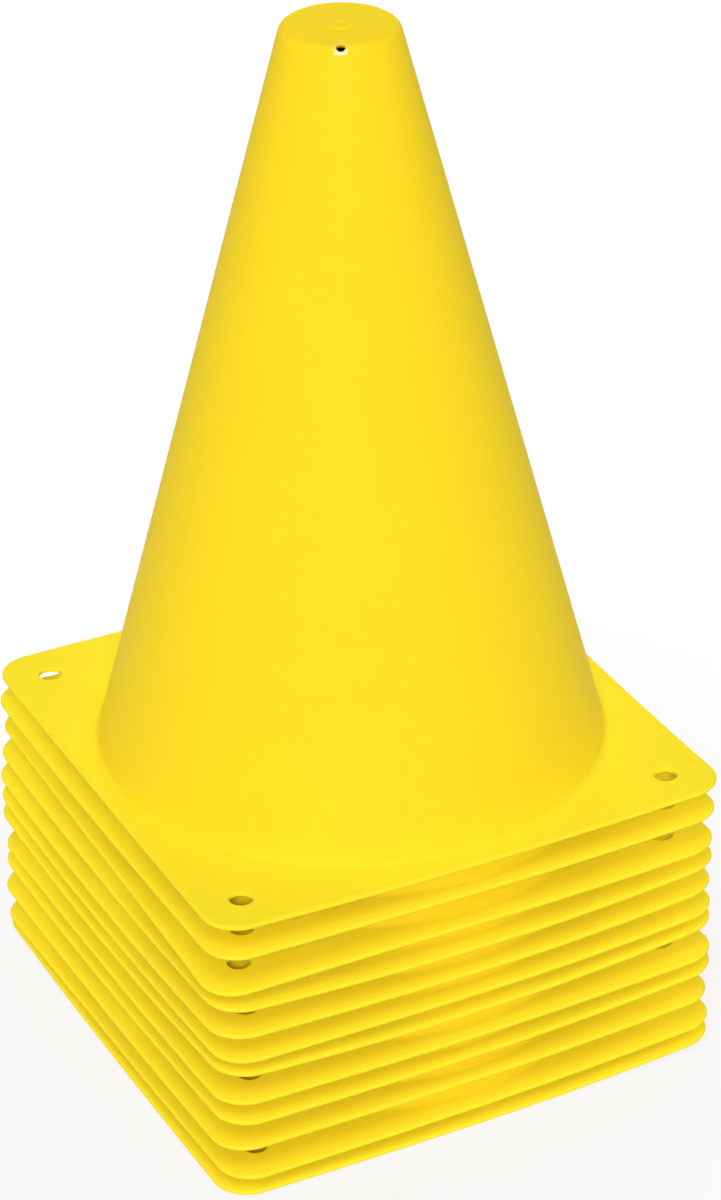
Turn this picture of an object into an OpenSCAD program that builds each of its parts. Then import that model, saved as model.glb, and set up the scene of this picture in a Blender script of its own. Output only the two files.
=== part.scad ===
// A stack of twelve nested sports marker cones.
// Each cone is one thin-walled moulding: a hollow cone on a square flange.
// The cones are nested so that the wall of each one bears on the wall of the one below.
// Lengths are in millimetres. The origin is under the middle of the lowest flange, and +Z is up.

/* [Flange] */
// Side of the square flange
flange_side = 139.7; // [134:0.1:200]
// Thickness of the flange
flange_t = 1.3; // [0.8:0.1:2.5]
// Radius of the flange's corners
corner_r = 9; // [3:0.5:25]
// Diameter of the hole in each corner
peg_hole_d = 6; // [3:0.1:9]
// From the edge of the flange to the centre of a corner hole
peg_hole_inset = 11.65; // [6:0.05:16]

/* [Cone] */
// Height of the cone above its flange
cone_h = 191; // [130:1:260]
// Outside diameter where the side of the cone meets the flange
foot_d = 128.5; // [110:0.5:134]
// Outside diameter at the top, measured where the side and the top would meet
top_d = 28.1; // [20:0.1:50]
// Thickness of the moulded wall
wall = 1; // [0.6:0.05:1.4]
// Radius of the rounded edge round the top
rim_r = 2.3; // [1.6:0.1:5]
// Radius of the fillet round the foot
foot_fillet_r = 1.6; // [0.5:0.1:2.5]

/* [Top] */
// Diameter of the air vent through the rim
vent_d = 2.2; // [1:0.1:2.6]
// Direction of the vent round the cone, in degrees
vent_turn = -115.5; // [-180:0.5:180]
// Slope of the vent, in degrees above the horizontal
vent_slope = 65; // [30:1:70]
// Diameter of the round pad that the moulding gate leaves
gate_pad_d = 6.6; // [3:0.1:12]
// Height of the gate's pad
gate_pad_h = 0.3; // [0.1:0.1:1]
// Diameter of the dimple in the gate's pad
gate_dimple_d = 2.4; // [1:0.1:2.9]

/* [Stack] */
// Clearance between two walls where a cone is closely seated
seat_gap = 0.3; // [0.15:0.05:0.6]
// How much higher than a closely seated cone the loosest one stands
slack = 3.95; // [0:0.05:5]
// Largest turn of one cone against the lowest one, in degrees
turn = 1.5; // [0:0.1:3]

/* [Hidden] */
$fn = 120;
plastic = "#fbdc29";
// How far a cut runs past the face that it opens
overrun = 1;

foot_r = foot_d / 2;
top_r = top_d / 2;
// Angle between the side of the cone and its axis
taper = atan((foot_r - top_r) / cone_h);
// The top face, above the underside of the flange
top_z = flange_t + cone_h;

// Closely seated walls are one wall and one clearance apart, measured square to the side
close_step = (wall + seat_gap) / sin(taper);
// Share of the slack under each cone, from the second one up
slack_shares = [0, 0.8, 0.65, 0.15, 0.7, 0, 0.35, 0.6, 0.45, 1, 0.85];
// Share of the largest turn that each cone has, from the lowest one up
turn_shares = [0, 0.45, 0.15, 0.25, 0, 0.25, 0.2, 0, -0.3, -1, -0.45, -0.7];
// Direction in which each cone leans on the one below it, in degrees, from the second one up
lean_ways = [0, 355, 145, 80, 285, 0, 335, 185, 195, 55, 200];
// A cone tips about this height, so it bears low on one side and high on the other
tip_z = flange_t + (cone_h - (foot_r + top_r) * tan(taper)) / 2;
// How far the wall comes in at the foot for each unit of tip
tip_arm = tip_z * cos(taper) + foot_r * sin(taper);

// Outside radius of the side at a height above the underside of the flange
function outside_r(z) = foot_r - (z - flange_t) * tan(taper);

// Inside radius of the side at the same height
function inside_r(z) = outside_r(z) - wall / cos(taper);

// From the side of the cone to the centre of a round that touches it, measured level
function round_offset(round_r) = round_r / cos(taper);

// Half section of a solid cone from height zero, with a rounded edge round its top
module blunt_section(base_r, height, edge_r) {
    edge_z = height - edge_r;
    edge_x = base_r - edge_z * tan(taper) - round_offset(edge_r);
    polygon([
        [0, 0],
        [base_r, 0],
        [edge_x + edge_r * cos(taper), edge_z + edge_r * sin(taper)],
        [edge_x, edge_z],
        [edge_x, height],
        [0, height],
    ]);
    translate([edge_x, edge_z]) circle(edge_r);
}

// Half section of the stretch between the floor of a corner and a round that fills it
module cove_section(side_r, floor_z, bottom_z, cove_r) {
    cove_x = side_r + round_offset(cove_r);
    cove_z = floor_z + cove_r;
    difference() {
        polygon([
            [0, bottom_z],
            [cove_x, bottom_z],
            [cove_x, cove_z],
            [cove_x - cove_r * cos(taper), cove_z - cove_r * sin(taper)],
            [0, cove_z - cove_r * sin(taper)],
        ]);
        translate([cove_x, cove_z]) circle(cove_r);
    }
}

// The outside of the cone, with the fillet that runs out into the flange
module outside_form() {
    rotate_extrude() {
        blunt_section(outside_r(0), top_z, rim_r);
        cove_section(outside_r(flange_t + foot_fillet_r), flange_t, flange_t / 2, foot_fillet_r);
    }
}

// The hollow, one wall inside, with a rounded mouth that follows the fillet
module hollow_form() {
    mouth_r = foot_fillet_r + wall;
    rotate_extrude() {
        blunt_section(inside_r(0), top_z - wall, rim_r - wall);
        cove_section(inside_r(mouth_r), 0, -overrun, mouth_r);
    }
}

module flange_outline() {
    corner = flange_side / 2 - corner_r;
    square([flange_side, 2 * corner], center = true);
    square([2 * corner, flange_side], center = true);
    for (x = [-corner, corner], y = [-corner, corner])
        translate([x, y]) circle(corner_r);
}

module peg_holes() {
    at = flange_side / 2 - peg_hole_inset;
    for (x = [-at, at], y = [-at, at])
        translate([x, y, -overrun]) cylinder(d = peg_hole_d, h = flange_t + 2 * overrun);
}

// The vent runs out through the rim from the middle of its round
module vent() {
    rim_z = top_z - rim_r;
    rim_x = outside_r(rim_z) - round_offset(rim_r);
    rotate([0, 0, vent_turn])
        translate([rim_x, 0, rim_z])
            rotate([0, 90 - vent_slope, 0])
                cylinder(d = vent_d, h = rim_r + overrun);
}

// The pad starts inside the top wall
module gate_pad() {
    translate([0, 0, top_z - wall / 2]) cylinder(d = gate_pad_d, h = gate_pad_h + wall / 2);
}

module gate_dimple() {
    translate([0, 0, top_z]) cylinder(d = gate_dimple_d, h = gate_pad_h + overrun);
}

module marker_cone() {
    difference() {
        union() {
            linear_extrude(flange_t) flange_outline();
            outside_form();
            gate_pad();
        }
        hollow_form();
        peg_holes();
        vent();
        gate_dimple();
    }
}

// Places a cone on the one below it: up by its step, turned, and leaning until their walls bear
module on_cone_below(k) {
    share = slack_shares[k - 1];
    way = lean_ways[k - 1];
    lean = atan(slack * share * sin(taper) / tip_arm);
    translate([0, 0, close_step + slack * share + tip_z])
        rotate(lean, [-sin(way), cos(way), 0])
            translate([0, 0, -tip_z])
                rotate([0, 0, turn * (turn_shares[k] - turn_shares[k - 1])])
                    children();
}

// Places a cone in the stack, counted from zero at the bottom
module stacked(k) {
    if (k > 0)
        stacked(k - 1) on_cone_below(k) children();
    else
        children();
}

module cone_01() { color(plastic) stacked(0) marker_cone(); }
module cone_02() { color(plastic) stacked(1) marker_cone(); }
module cone_03() { color(plastic) stacked(2) marker_cone(); }
module cone_04() { color(plastic) stacked(3) marker_cone(); }
module cone_05() { color(plastic) stacked(4) marker_cone(); }
module cone_06() { color(plastic) stacked(5) marker_cone(); }
module cone_07() { color(plastic) stacked(6) marker_cone(); }
module cone_08() { color(plastic) stacked(7) marker_cone(); }
module cone_09() { color(plastic) stacked(8) marker_cone(); }
module cone_10() { color(plastic) stacked(9) marker_cone(); }
module cone_11() { color(plastic) stacked(10) marker_cone(); }
module cone_12() { color(plastic) stacked(11) marker_cone(); }

cone_01();
cone_02();
cone_03();
cone_04();
cone_05();
cone_06();
cone_07();
cone_08();
cone_09();
cone_10();
cone_11();
cone_12();
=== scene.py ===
import math

import bmesh
import bpy
from mathutils import Matrix, Vector


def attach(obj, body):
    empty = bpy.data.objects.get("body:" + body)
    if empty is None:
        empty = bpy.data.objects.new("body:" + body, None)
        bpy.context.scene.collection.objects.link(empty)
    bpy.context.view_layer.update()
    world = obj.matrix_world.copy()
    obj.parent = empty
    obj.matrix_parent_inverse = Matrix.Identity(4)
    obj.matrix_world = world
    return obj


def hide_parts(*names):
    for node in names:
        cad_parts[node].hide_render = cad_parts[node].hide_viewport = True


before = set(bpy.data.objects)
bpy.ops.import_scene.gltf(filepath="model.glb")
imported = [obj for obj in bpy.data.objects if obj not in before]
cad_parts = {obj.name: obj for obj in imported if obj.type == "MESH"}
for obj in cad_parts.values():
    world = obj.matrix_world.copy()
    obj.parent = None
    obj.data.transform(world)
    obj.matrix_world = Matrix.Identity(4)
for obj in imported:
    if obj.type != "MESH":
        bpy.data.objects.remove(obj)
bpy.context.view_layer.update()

MM = 0.001

# The moulded cone, with the same sizes as the part's source
FLANGE_HALF = 69.85 * MM
FLANGE_T = 1.3 * MM
CORNER_R = 9 * MM
PEG_HOLE_R = 3 * MM
PEG_HOLE_AT = FLANGE_HALF - 11.65 * MM
CONE_H = 191 * MM
FOOT_R = 64.25 * MM
TOP_R = 14.05 * MM
WALL = 1 * MM
RIM_R = 2.3 * MM
FOOT_FILLET_R = 1.6 * MM
VENT_R = 1.1 * MM
VENT_TURN = math.radians(-115.5)
VENT_SLOPE = math.radians(65)
GATE_PAD_R = 3.3 * MM
GATE_PAD_H = 0.3 * MM
GATE_DIMPLE_R = 1.2 * MM

TAPER = math.atan((FOOT_R - TOP_R) / CONE_H)
TOP_Z = FLANGE_T + CONE_H
RIM_Z = TOP_Z - RIM_R
MOUTH_R = FOOT_FILLET_R + WALL

# The stack: how each cone sits on the one below it, from the second one up
SEAT_GAP = 0.3 * MM
SLACK = 3.95 * MM
LARGEST_TURN = math.radians(1.5)
CLOSE_STEP = (WALL + SEAT_GAP) / math.sin(TAPER)
SLACK_SHARES = (0, 0.8, 0.65, 0.15, 0.7, 0, 0.35, 0.6, 0.45, 1, 0.85)
TURN_SHARES = (0, 0.45, 0.15, 0.25, 0, 0.25, 0.2, 0, -0.3, -1, -0.45, -0.7)
LEAN_WAYS = (0, 355, 145, 80, 285, 0, 335, 185, 195, 55, 200)
TIP_Z = FLANGE_T + (CONE_H - (FOOT_R + TOP_R) * math.tan(TAPER)) / 2
TIP_ARM = TIP_Z * math.cos(TAPER) + FOOT_R * math.sin(TAPER)

# How thin flanges curl as the moulding cools: rise of the left, front and right corners,
# and of the middles of the left and right front sides, in millimetres, from the lowest cone up
FLANGE_CURL = (
    (2.2, 1.2, 3.0, 0.4, 0.1),
    (0.0, 1.1, 2.0, 0.0, 0.1),
    (0.2, 1.2, 3.0, -0.6, 0.5),
    (1.7, 1.5, 3.3, -0.3, 0.2),
    (0.5, 1.7, 2.2, -0.2, 0.3),
    (2.6, 2.7, 3.8, -0.6, -0.1),
    (2.8, 1.2, 2.9, -0.5, 0.1),
    (1.6, 1.8, 4.0, -0.9, 0.2),
    (0.9, 2.4, 3.6, -0.7, -0.2),
    (1.1, -0.6, 2.4, 0.4, 0.2),
    (1.3, 1.1, 2.2, -0.2, 0.4),
    (0.0, 1.5, 1.6, 0.4, 0.0),
)

# From the foot to where a flange has its whole curl, towards a corner and towards the middle of a side
CORNER_CURL_RUN = 13 * MM
SIDE_CURL_RUN = 4.5 * MM

# Radii of the eased edges: round the flange, and at the holes, the vent and the gate's pad
FLANGE_EDGE_R = 0.6 * MM
SMALL_EDGE_R = 0.12 * MM
# An edge that turns more than this is eased
SHARP = math.radians(50)
# How far the shiny ring round the vent reaches from the vent's middle
SHINY_REACH = 2 * MM

# The mesh: columns round the cone, of which some go to each corner's round
COLUMNS = 240
COLUMN = math.tau / COLUMNS
ROUND_COLUMNS = 16
# Shares of the way from the foot to the edge of the flange at which its rows lie
FLANGE_ROWS = (0.14, 0.28, 0.41, 0.487, 0.564, 0.641, 0.718, 0.8, 1)
# The rows between which faces give way to a corner hole, and over how many columns
HOLE_ROWS = (0.41, 0.718)
HOLE_COLUMNS = 8
# How many columns on each side of the vent give way to it
VENT_COLUMNS = 4
# A ring's reach past the foot while the flange is still round
ROUND_REACH = 30 * MM
# Two vertices this close are one, and heights this close are level
SAME = 0.001 * MM
LEVEL = 0.01 * MM


def outside_r(z):
    """Outside radius of the side at a height above the underside of the flange."""
    return FOOT_R - (z - FLANGE_T) * math.tan(TAPER)


def inside_r(z):
    """Inside radius of the side at the same height."""
    return outside_r(z) - WALL / math.cos(TAPER)


# Centre of the rim's round in the half section, and the rows round the vent at which its patch ends
RIM_X = outside_r(RIM_Z) - RIM_R / math.cos(TAPER)
PATCH_LOW_Z = RIM_Z - 0.3 * MM
PATCH_IN_X = RIM_X - 1 * MM
# Where the flat of the flange begins, on top and underneath
FLANGE_IN_TOP = outside_r(FLANGE_T + FOOT_FILLET_R) + FOOT_FILLET_R / math.cos(TAPER)
FLANGE_IN_UNDER = inside_r(MOUTH_R) + MOUTH_R / math.cos(TAPER)


def arc(x, z, radius, start, end, steps):
    """Points of a round in the half section, both ends included, angles from level."""
    turns = [start + (end - start) * i / steps for i in range(steps + 1)]
    return [(x + radius * math.cos(a), z + radius * math.sin(a)) for a in turns]


def between(a, b, steps):
    """Points between two others, neither included."""
    return [(a[0] + (b[0] - a[0]) * i / steps, a[1] + (b[1] - a[1]) * i / steps) for i in range(1, steps)]


def half_section():
    """The moulding's half section, from the middle of its top round to the middle of its hollow."""
    quarter = math.pi / 2
    dimple = [(0, TOP_Z), (GATE_DIMPLE_R, TOP_Z), (GATE_DIMPLE_R, TOP_Z + GATE_PAD_H)]
    pad = [(GATE_PAD_R, TOP_Z + GATE_PAD_H), (GATE_PAD_R, TOP_Z)]
    rim = arc(RIM_X, RIM_Z, RIM_R, quarter, TAPER, 7)
    fillet = arc(FLANGE_IN_TOP, FLANGE_T + FOOT_FILLET_R, FOOT_FILLET_R, math.pi + TAPER, 3 * quarter, 5)
    top = [(FLANGE_IN_TOP + ROUND_REACH * share, FLANGE_T) for share in FLANGE_ROWS]
    under = [(FLANGE_IN_UNDER + ROUND_REACH * share, 0) for share in reversed(FLANGE_ROWS)]
    mouth = arc(FLANGE_IN_UNDER, MOUTH_R, MOUTH_R, 3 * quarter, math.pi + TAPER, 6)
    hollow_rim = arc(RIM_X, RIM_Z, RIM_R - WALL, TAPER, quarter, 6)
    # a row on the flat top, and one on each side of the hollow's round, make room for the vent
    top_row = (RIM_X - 0.8 * MM, TOP_Z)
    low_row = (inside_r(PATCH_LOW_Z), PATCH_LOW_Z)
    high_row = (PATCH_IN_X, TOP_Z - WALL)
    middle = (0, TOP_Z - WALL)
    outside = dimple + pad + between(pad[-1], top_row, 4) + [top_row] + rim + between(rim[-1], fillet[0], 10)
    flange = fillet + top + under + mouth
    inside = between(mouth[-1], low_row, 10) + [low_row] + hollow_rim + [high_row]
    return outside + flange + inside + between(high_row, middle, 4) + [middle]


def edge_point(turn):
    """Where a column meets the edge of the square flange."""
    quadrant, local = divmod(turn % math.tau, math.pi / 2)
    straight = FLANGE_HALF - CORNER_R
    half_round = ROUND_COLUMNS * COLUMN / 2
    start, end = math.pi / 4 - half_round, math.pi / 4 + half_round
    if local <= start:
        x, y = FLANGE_HALF, straight * local / start
    elif local < end:
        a = (local - start) / (end - start) * math.pi / 2
        x, y = straight + CORNER_R * math.cos(a), straight + CORNER_R * math.sin(a)
    else:
        x, y = straight * (math.pi / 2 - local) / start, FLANGE_HALF
    return Vector((x, y, 0)).to_2d() @ Matrix.Rotation(-quadrant * math.pi / 2, 2)


def hole_faces(bm):
    """The flange faces that give way to the peg holes, while the flange is still round."""
    found = []
    for face in bm.faces:
        c = face.calc_center_median()
        r = math.hypot(c.x, c.y)
        inner = FLANGE_IN_TOP if c.z > FLANGE_T / 2 else FLANGE_IN_UNDER
        share = (r - inner) / ROUND_REACH
        off = abs((math.atan2(c.y, c.x) % (math.pi / 2)) - math.pi / 4)
        flat = c.z < FLANGE_T + LEVEL
        if flat and HOLE_ROWS[0] < share < HOLE_ROWS[1] and off < HOLE_COLUMNS / 2 * COLUMN:
            found.append(face)
    return found


def vent_faces(bm):
    """The faces of both walls of the rim that give way to the vent."""
    found = []
    for face in bm.faces:
        c = face.calc_center_median()
        r = math.hypot(c.x, c.y)
        off = abs((math.atan2(c.y, c.x) - VENT_TURN + math.pi) % math.tau - math.pi)
        if off <= VENT_COLUMNS * COLUMN and c.z >= PATCH_LOW_Z and r >= PATCH_IN_X:
            found.append(face)
    return found


def open_edges(bm, near):
    """Open edges whose middle passes a test."""
    return [e for e in bm.edges if e.is_boundary and near((e.verts[0].co + e.verts[1].co) / 2)]


def shrink_ring(bm, edges, place):
    """Runs a ring of new faces in from an open loop; place moves the new vertices to where they belong."""
    made = bmesh.ops.extrude_edge_only(bm, edges=edges)["geom"]
    verts = [v for v in made if isinstance(v, bmesh.types.BMVert)]
    place(verts)
    return [e for e in made if isinstance(e, bmesh.types.BMEdge) and e.is_boundary]


def round_hole(bm, centre, radius):
    """A round edge in one side of the flange, where a rectangle of faces was taken out."""
    edges = open_edges(bm, lambda p: (p - centre).length < 3 * radius and abs(p.z - centre.z) < FLANGE_T / 2)

    def on_circle(r):
        def place(verts):
            ordered = sorted(verts, key=lambda v: math.atan2(v.co.y - centre.y, v.co.x - centre.x))
            first = ordered[0].co - centre
            start = math.atan2(first.y, first.x)
            for i, v in enumerate(ordered):
                a = start + math.tau * i / len(ordered)
                v.co = centre + Vector((r * math.cos(a), r * math.sin(a), 0))
        return place

    edges = shrink_ring(bm, edges, on_circle(radius + 0.6 * MM))
    return shrink_ring(bm, edges, on_circle(radius))


def rounded_wall(v, radius):
    """Height of a rim wall over the round's centre, along the vent, at a distance up from the vent's axis."""
    low = VENT_SLOPE - TAPER
    if v < -radius * math.sin(low):
        return (radius + v * math.sin(low)) / math.cos(low)
    if v > radius * math.cos(VENT_SLOPE):
        return (radius - v * math.cos(VENT_SLOPE)) / math.sin(VENT_SLOPE)
    return math.sqrt(radius * radius - v * v)


def vent_ring(bm, radius):
    """A round edge for the vent in one wall of the rim, where that wall has this radius."""
    out = Vector((math.cos(VENT_TURN), math.sin(VENT_TURN), 0))
    along = out * math.cos(VENT_SLOPE) + Vector((0, 0, math.sin(VENT_SLOPE)))
    up = Vector((0, 0, math.cos(VENT_SLOPE))) - out * math.sin(VENT_SLOPE)
    side = along.cross(up)
    origin = out * RIM_X + Vector((0, 0, RIM_Z))
    centre = origin + along * radius

    def by_the_vent(p):
        return (p - centre).length < 3 * MM and abs(wall_distance(p) - radius) < WALL / 2

    def place(verts):
        ordered = sorted(verts, key=lambda v: math.atan2((v.co - origin).dot(up), (v.co - origin).dot(side)))
        first = ordered[0].co - origin
        start = math.atan2(first.dot(up), first.dot(side))
        for i, v in enumerate(ordered):
            a = start + math.tau * i / len(ordered)
            u, w = VENT_R * math.cos(a), VENT_R * math.sin(a)
            height = rounded_wall(w, radius) - u * u / (2 * RIM_X / math.cos(VENT_SLOPE))
            v.co = origin + side * u + up * w + along * height

    return shrink_ring(bm, open_edges(bm, by_the_vent), place)


def wall_distance(point):
    """How far a place is from the circle at the centre of the rim's round, square to the wall there."""
    r = math.hypot(point.x, point.y)
    if r < RIM_X:
        return point.z - RIM_Z
    if point.z < RIM_Z:
        return (r - RIM_X) * math.cos(TAPER) - (RIM_Z - point.z) * math.sin(TAPER)
    return math.hypot(r - RIM_X, point.z - RIM_Z)


def moulded_cone():
    """One cone as it is moulded, standing at the origin."""
    bm = bmesh.new()
    verts = [bm.verts.new((x, 0, z)) for x, z in half_section()]
    edges = [bm.edges.new(pair) for pair in zip(verts, verts[1:])]
    bmesh.ops.spin(
        bm, geom=verts + edges, cent=(0, 0, 0), axis=(0, 0, 1), angle=math.tau, steps=COLUMNS, use_merge=True,
    )
    bmesh.ops.remove_doubles(bm, verts=bm.verts, dist=SAME)
    bmesh.ops.delete(bm, geom=hole_faces(bm) + vent_faces(bm), context="FACES")

    # the round flange becomes a square one with rounded corners
    for v in bm.verts:
        r = math.hypot(v.co.x, v.co.y)
        inner = FLANGE_IN_TOP if v.co.z > FLANGE_T / 2 else FLANGE_IN_UNDER
        share = (r - inner) / ROUND_REACH
        if share > 0.01 and v.co.z < FLANGE_T + LEVEL:
            turn = math.atan2(v.co.y, v.co.x)
            foot = Vector((inner * math.cos(turn), inner * math.sin(turn)))
            v.co.xy = foot.lerp(edge_point(turn), share)

    for x in (-PEG_HOLE_AT, PEG_HOLE_AT):
        for y in (-PEG_HOLE_AT, PEG_HOLE_AT):
            loops = []
            for z in (0, FLANGE_T):
                loops += round_hole(bm, Vector((x, y, z)), PEG_HOLE_R)
            bmesh.ops.bridge_loops(bm, edges=loops)
    vent_loops = vent_ring(bm, RIM_R) + vent_ring(bm, RIM_R - WALL)
    bmesh.ops.bridge_loops(bm, edges=vent_loops)
    bmesh.ops.recalc_face_normals(bm, faces=bm.faces)

    sharp = [e for e in bm.edges if e.calc_face_angle(0) > SHARP]
    flange_edge, small_edge = [], []
    for e in sharp:
        c = (e.verts[0].co + e.verts[1].co) / 2
        by_hole = math.hypot(abs(c.x) - PEG_HOLE_AT, abs(c.y) - PEG_HOLE_AT) < PEG_HOLE_R + 0.3 * MM
        if c.z < FLANGE_T + 0.1 * MM and not by_hole:
            flange_edge.append(e)
        else:
            small_edge.append(e)
    bmesh.ops.bevel(
        bm, geom=flange_edge, offset=FLANGE_EDGE_R, offset_type="OFFSET", affect="EDGES",
        segments=4, profile=0.5, material=-1,
    )
    small_edge = [e for e in small_edge if e.is_valid]
    bmesh.ops.bevel(
        bm, geom=small_edge, offset=SMALL_EDGE_R, offset_type="OFFSET", affect="EDGES",
        segments=2, profile=0.5, material=-1,
    )

    # round the vent's mouth the faces have the second material
    land = Vector((math.cos(VENT_TURN), math.sin(VENT_TURN), 0)) * (RIM_X + RIM_R * math.cos(VENT_SLOPE))
    land.z = RIM_Z + RIM_R * math.sin(VENT_SLOPE)
    for face in bm.faces:
        if (face.calc_center_median() - land).length < SHINY_REACH:
            face.material_index = 1
    return bm


def smooth_step(x):
    """Zero below zero, one above one, and an even climb between."""
    x = min(1.0, max(0.0, x))
    return x * x * (3 - 2 * x)


def curl(x, y, rises):
    """How far a curled flange rises above a flat one at a place."""
    left, front, right, left_mid, right_mid = rises
    across, along = (x / FLANGE_HALF) ** 2, (y / FLANGE_HALF) ** 2
    if x < 0:
        corner = front if y < 0 else left
    else:
        # the corner at the back isn't in the photo, and is taken to be between its neighbours
        corner = right if y < 0 else (left + right) / 2
    r = math.hypot(x, y)
    rise = corner * across * along * smooth_step((r - FOOT_R) / CORNER_CURL_RUN)
    sides = 0
    if x < 0:
        sides += left_mid * across * max(0, 1 - along)
    if y < 0:
        sides += right_mid * along * max(0, 1 - across)
    return (rise + sides * smooth_step((r - FOOT_R) / SIDE_CURL_RUN)) * MM


def place_in_stack(k):
    """Where a cone stands in the stack, counted from zero at the bottom."""
    place = Matrix.Identity(4)
    for i in range(1, k + 1):
        share = SLACK_SHARES[i - 1]
        way = math.radians(LEAN_WAYS[i - 1])
        lean = math.atan(SLACK * share * math.sin(TAPER) / TIP_ARM)
        up = Matrix.Translation((0, 0, CLOSE_STEP + SLACK * share + TIP_Z))
        tip = Matrix.Rotation(lean, 4, Vector((-math.sin(way), math.cos(way), 0)))
        down = Matrix.Translation((0, 0, -TIP_Z))
        turn = Matrix.Rotation(LARGEST_TURN * (TURN_SHARES[i] - TURN_SHARES[i - 1]), 4, "Z")
        place = place @ up @ tip @ down @ turn
    return place


def linear(code):
    """An sRGB hex colour in linear light, with full opacity."""
    parts = [int(code[i:i + 2], 16) / 255 for i in (1, 3, 5)]
    return tuple(c / 12.92 if c <= 0.04045 else ((c + 0.055) / 1.055) ** 2.4 for c in parts) + (1,)


def feed(tree, socket, value):
    """Gives an input a value, or links it to the output that feeds it."""
    if isinstance(value, bpy.types.NodeSocket):
        tree.links.new(value, socket)
    else:
        socket.default_value = value


def add_node(tree, kind, settings=None, **inputs):
    """Adds a node with its settings and with its inputs, by name or, as in0 and in1, by number."""
    node = tree.nodes.new(kind)
    for name, value in (settings or {}).items():
        setattr(node, name, value)
    for name, value in inputs.items():
        numbered = name.startswith("in") and name[2:].isdigit()
        feed(tree, node.inputs[int(name[2:]) if numbered else name.replace("_", " ")], value)
    return node


def new_material(name):
    """A material without nodes yet, and its node tree."""
    material = bpy.data.materials.new(name)
    material.use_nodes = True
    material.node_tree.nodes.clear()
    return material, material.node_tree


def yellow_polyethylene(name, dullest, gloss):
    """Moulded low-density polyethylene: waxy, a little see-through, with a soft wide gloss unless shiny."""
    material, tree = new_material(name)
    place = add_node(tree, "ShaderNodeTexCoord").outputs["Object"]
    # uneven pigment and flow, in clouds about 26 mm across
    cloud = add_node(
        tree, "ShaderNodeTexNoise", Vector=place, Scale=1 / (26.3 * MM), Detail=3.0, Roughness=0.55,
    ).outputs["Fac"]
    pigment = add_node(
        tree, "ShaderNodeMix", {"data_type": "RGBA"}, Factor=cloud,
        in6=linear("#FBD71C"), in7=linear("#FDDD20"),
    )
    # painted light: out from the foot the flange is coloured paler and greener than the cone, standing in for
    # the lighter, less golden look that light gives the flanges; the plastic is the same
    level = add_node(tree, "ShaderNodeVectorMath", {"operation": "MULTIPLY"}, in0=place, in1=(1, 1, 0))
    reach = add_node(tree, "ShaderNodeVectorMath", {"operation": "LENGTH"}, in0=level.outputs["Vector"])
    painted_light_flange_share = add_node(
        tree, "ShaderNodeMapRange", {"interpolation_type": "SMOOTHSTEP"}, Value=reach.outputs["Value"],
        From_Min=FOOT_R - 3 * MM, From_Max=FOOT_R + 3 * MM,
    )
    colour = add_node(
        tree, "ShaderNodeMix", {"data_type": "RGBA"}, Factor=painted_light_flange_share.outputs["Result"],
        in6=pigment.outputs[2], in7=linear("#FAE42A"),
    )
    # fine spark-eroded grain, about 0.7 mm, over the clouds' faint waves
    grain = add_node(tree, "ShaderNodeTexNoise", Vector=place, Scale=1 / (0.714 * MM), Detail=2.0)
    bump = add_node(tree, "ShaderNodeBump", Height=grain.outputs["Fac"], Strength=0.06, Distance=0.2 * MM)
    wave = add_node(
        tree, "ShaderNodeBump", Height=cloud, Strength=0.25, Distance=0.6 * MM, Normal=bump.outputs["Normal"],
    )
    rough = add_node(tree, "ShaderNodeMapRange", Value=cloud, To_Min=dullest - 0.08, To_Max=dullest)
    plastic = add_node(
        tree, "ShaderNodeBsdfPrincipled", Base_Color=colour.outputs[2], Roughness=rough.outputs["Result"],
        IOR=1.51, Specular_IOR_Level=gloss, Diffuse_Roughness=0.4, Normal=wave.outputs["Normal"],
        Subsurface_Weight=0.25, Subsurface_Scale=1 * MM, Subsurface_Radius=(1.0, 1.0, 0.4),
    )
    add_node(tree, "ShaderNodeOutputMaterial", Surface=plastic.outputs["BSDF"])
    return material


def shows_white(tree):
    """One for the rays that show the white studio: the camera's, and those from gloss or through glass."""
    ray = add_node(tree, "ShaderNodeLightPath")
    total = ray.outputs["Is Camera Ray"]
    for kind in ("Is Glossy Ray", "Is Transmission Ray"):
        either = add_node(tree, "ShaderNodeMath", {"operation": "MAXIMUM"}, in0=total, in1=ray.outputs[kind])
        total = either.outputs["Value"]
    return total


def studio_floor():
    """White floor paint: a soft shadow by the stack, and away from it as white as the backdrop."""
    material, tree = new_material("white_studio_floor")
    paint = add_node(tree, "ShaderNodeBsdfDiffuse", Color=linear("#E6E6E6"))
    glow = add_node(tree, "ShaderNodeEmission", Color=(1, 1, 1, 1), Strength=1.0)
    place = add_node(tree, "ShaderNodeTexCoord")
    away = add_node(tree, "ShaderNodeVectorMath", {"operation": "LENGTH"}, in0=place.outputs["Object"])
    share = add_node(
        tree, "ShaderNodeMapRange", {"interpolation_type": "SMOOTHSTEP"}, Value=away.outputs["Value"],
        From_Min=70 * MM, From_Max=220 * MM, To_Min=0.78, To_Max=1.0,
    )
    seen = add_node(
        tree, "ShaderNodeMath", {"operation": "MULTIPLY"}, in0=share.outputs["Result"], in1=shows_white(tree),
    )
    mixed = add_node(
        tree, "ShaderNodeMixShader", Fac=seen.outputs["Value"],
        in1=paint.outputs["BSDF"], in2=glow.outputs["Emission"],
    )
    add_node(tree, "ShaderNodeOutputMaterial", Surface=mixed.outputs["Shader"])
    return material


# The twelve cones
satin = yellow_polyethylene("yellow_polyethylene_satin", 0.66, 0.15)
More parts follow.
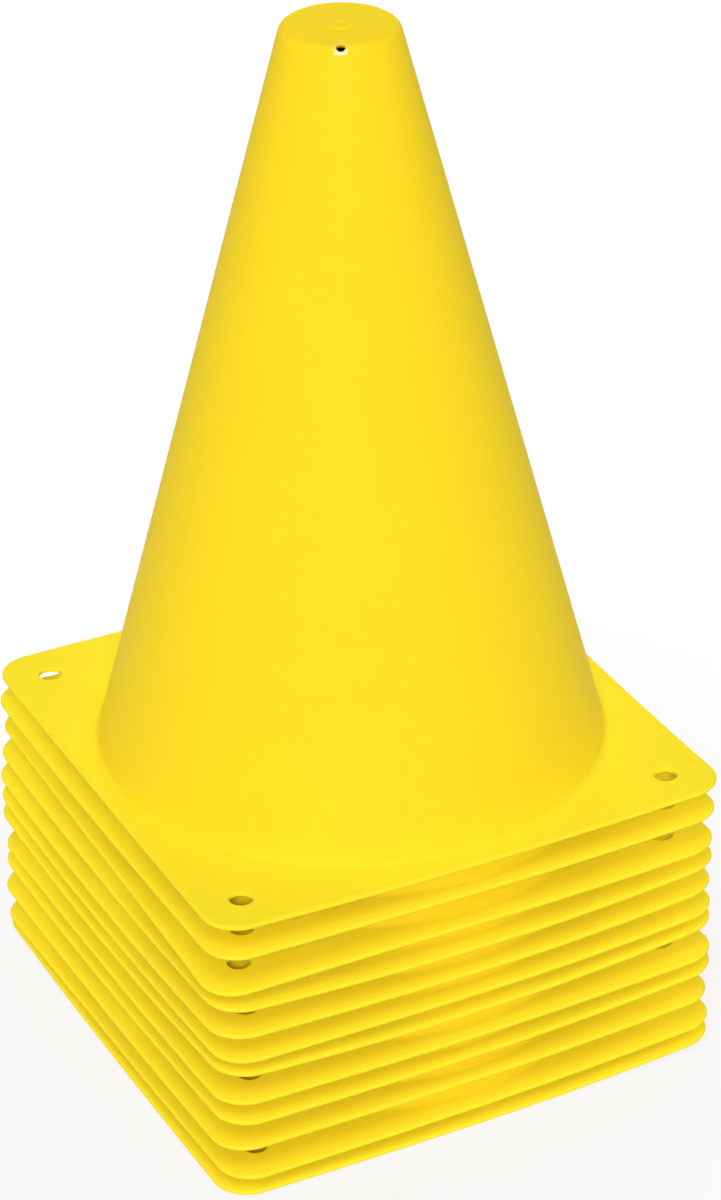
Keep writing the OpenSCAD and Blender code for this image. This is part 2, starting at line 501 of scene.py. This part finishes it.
# the pin that keeps the vent open leaves a shiny ring round it
shiny = yellow_polyethylene("yellow_polyethylene_shiny", 0.32, 0.7)
pattern = moulded_cone()
for k in range(12):
    name = "cone_%02d" % (k + 1)
    bm = pattern.copy()
    for v in bm.verts:
        if v.co.z < FLANGE_T + FOOT_FILLET_R:
            v.co.z += curl(v.co.x, v.co.y, FLANGE_CURL[k])
    bmesh.ops.transform(bm, matrix=place_in_stack(k), verts=bm.verts)
    for face in bm.faces:
        face.smooth = True
    mesh = bpy.data.meshes.new("moulded_" + name)
    bm.to_mesh(mesh)
    bm.free()
    mesh.materials.append(satin)
    mesh.materials.append(shiny)
    cone = bpy.data.objects.new("moulded_" + name, mesh)
    bpy.context.scene.collection.objects.link(cone)
    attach(cone, name)
    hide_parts(name)
pattern.free()

# The studio's floor, a little below the lowest flange so that the two don't lie in one plane
bpy.ops.mesh.primitive_plane_add(size=12, location=(0, 0, -0.2 * MM))
floor = bpy.context.object
floor.name = "studio_floor"
floor.data.materials.append(studio_floor())


def far_lamp(name, azimuth, elevation, spread, strength):
    """A lamp so far off that it lights the stack alike at every height.

    Angles are in degrees: azimuth counts from -Y towards +X, and spread is the width of the lamp.
    """
    a, e = math.radians(azimuth), math.radians(elevation)
    away = Vector((math.sin(a) * math.cos(e), -math.cos(a) * math.cos(e), math.sin(e)))
    light = bpy.data.lights.new(name, "SUN")
    light.angle = math.radians(spread)
    light.energy = strength
    lamp = bpy.data.objects.new(name, light)
    lamp.location = away * 2
    lamp.rotation_euler = away.to_track_quat("Z", "Y").to_euler()
    bpy.context.scene.collection.objects.link(lamp)
    return lamp


far_lamp("camera_lamp", -29, 32.5, 8, 2.0)
far_lamp("key_lamp", -32, 60, 34, 1.05)
back_lamp = far_lamp("back_lamp", 152, 8, 16, 1.9)
# the flanges would mirror it towards the camera, which the photo doesn't show
back_lamp.visible_glossy = False

# The backdrop is white to look at, and gives the stack a weak light from all round
world = bpy.data.worlds.new("white_studio")
bpy.context.scene.world = world
world.use_nodes = True
sky = world.node_tree
sky.nodes.clear()
level = add_node(sky, "ShaderNodeMapRange", Value=shows_white(sky), To_Min=0.1, To_Max=1.0)
back = add_node(sky, "ShaderNodeBackground", Color=(1, 1, 1, 1), Strength=level.outputs["Result"])
add_node(sky, "ShaderNodeOutputWorld", Surface=back.outputs["Background"])

# Camera, fitted to the photo's corners, edges and outline
CAMERA_AZIMUTH = math.radians(-27.3305)
CAMERA_ELEVATION = math.radians(30.4854)
CAMERA_ROLL = math.radians(-0.5737)
camera_data = bpy.data.cameras.new("camera")
camera_data.lens = 125.187
camera_data.sensor_width = 36
camera = bpy.data.objects.new("camera", camera_data)
camera.matrix_world = (
    Matrix.Translation((-0.40859, -0.79765, 0.64379))
    @ Matrix.Rotation(CAMERA_AZIMUTH, 4, "Z")
    @ Matrix.Rotation(math.pi / 2 - CAMERA_ELEVATION, 4, "X")
    @ Matrix.Rotation(CAMERA_ROLL, 4, "Z")
)
bpy.context.scene.collection.objects.link(camera)
bpy.context.scene.camera = camera

bpy.context.scene.view_settings.view_transform = "Standard"

bpy.context.view_layer.update()
